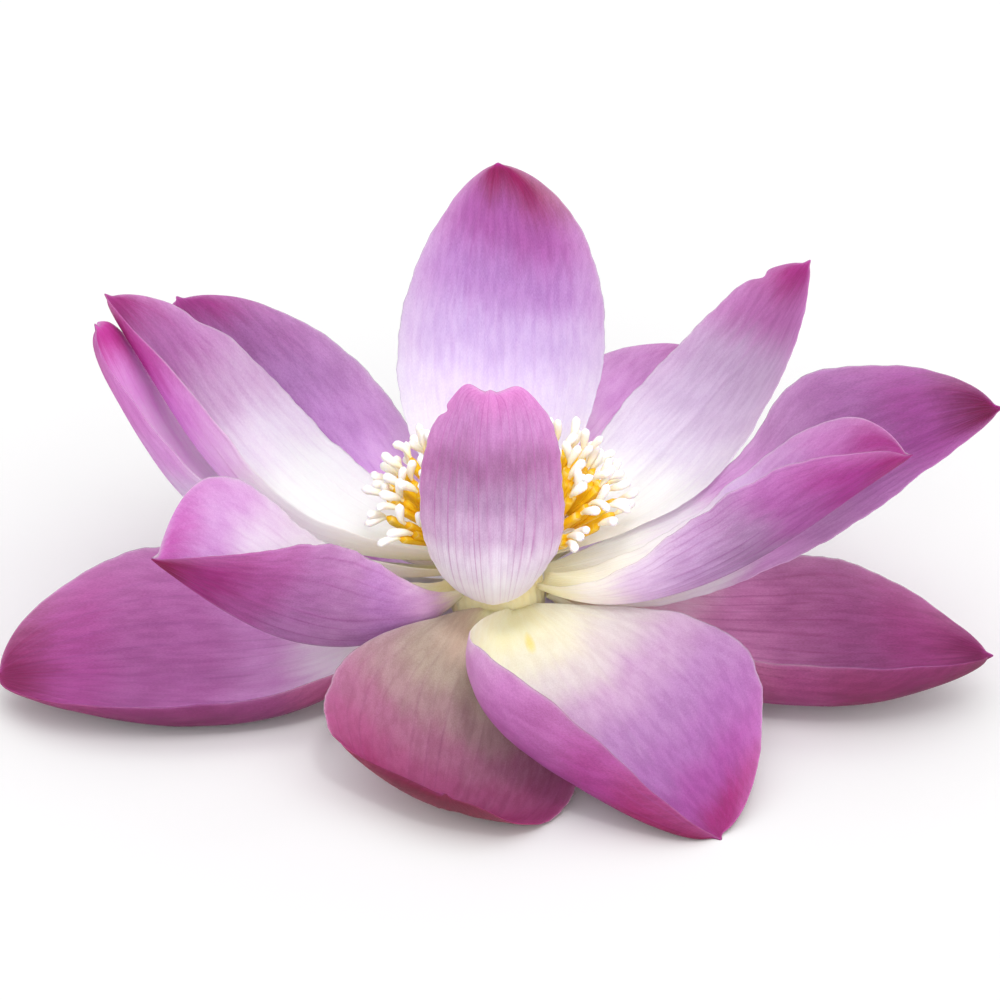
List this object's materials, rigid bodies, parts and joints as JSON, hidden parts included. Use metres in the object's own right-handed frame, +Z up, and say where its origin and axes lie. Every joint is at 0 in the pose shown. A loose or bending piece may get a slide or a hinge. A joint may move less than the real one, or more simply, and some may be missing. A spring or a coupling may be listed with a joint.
{
  "type": "lotus flower",
  "caption": "Open lotus flower, picked with a stub of stalk, its broad cupped petals spread around a ring of stamens and a seed cone.",
  "frame": {"origin": "on the surface the flower rests on, under the middle of its bounding box", "axes": "+Z up through the receptacle; X along the flower's widest spread; -Y the side where one small petal stands upright in front of the stamens"},
  "size_m": [0.2234, 0.1596, 0.0951],
  "materials": {
    "petal": "satin",
    "outer_petal": "satin",
    "receptacle": "matte",
    "stalk": "satin",
    "stamen": "matte"
  },
  "bodies": {
    "root": {"petal_back": "petal", "petal_left_inner": "petal", "petal_left_under": "petal", "petal_left_folded": "petal", "petal_back_left": "petal", "petal_front_inner": "petal", "petal_right_inner": "petal", "petal_back_right": "petal", "petal_right_long": "petal", "petal_right_folded": "petal", "petal_right_lower": "outer_petal", "petal_front_right": "outer_petal", "petal_front_left": "outer_petal", "petal_left_lower": "outer_petal", "petal_rear_right": "outer_petal", "petal_rear_left": "outer_petal", "receptacle": "receptacle", "stalk": "stalk", "stamens_1": "stamen", "stamens_2": "stamen", "stamens_3": "stamen", "stamens_4": "stamen", "stamens_5": "stamen", "stamens_6": "stamen"}
  },
  "joints": []
}
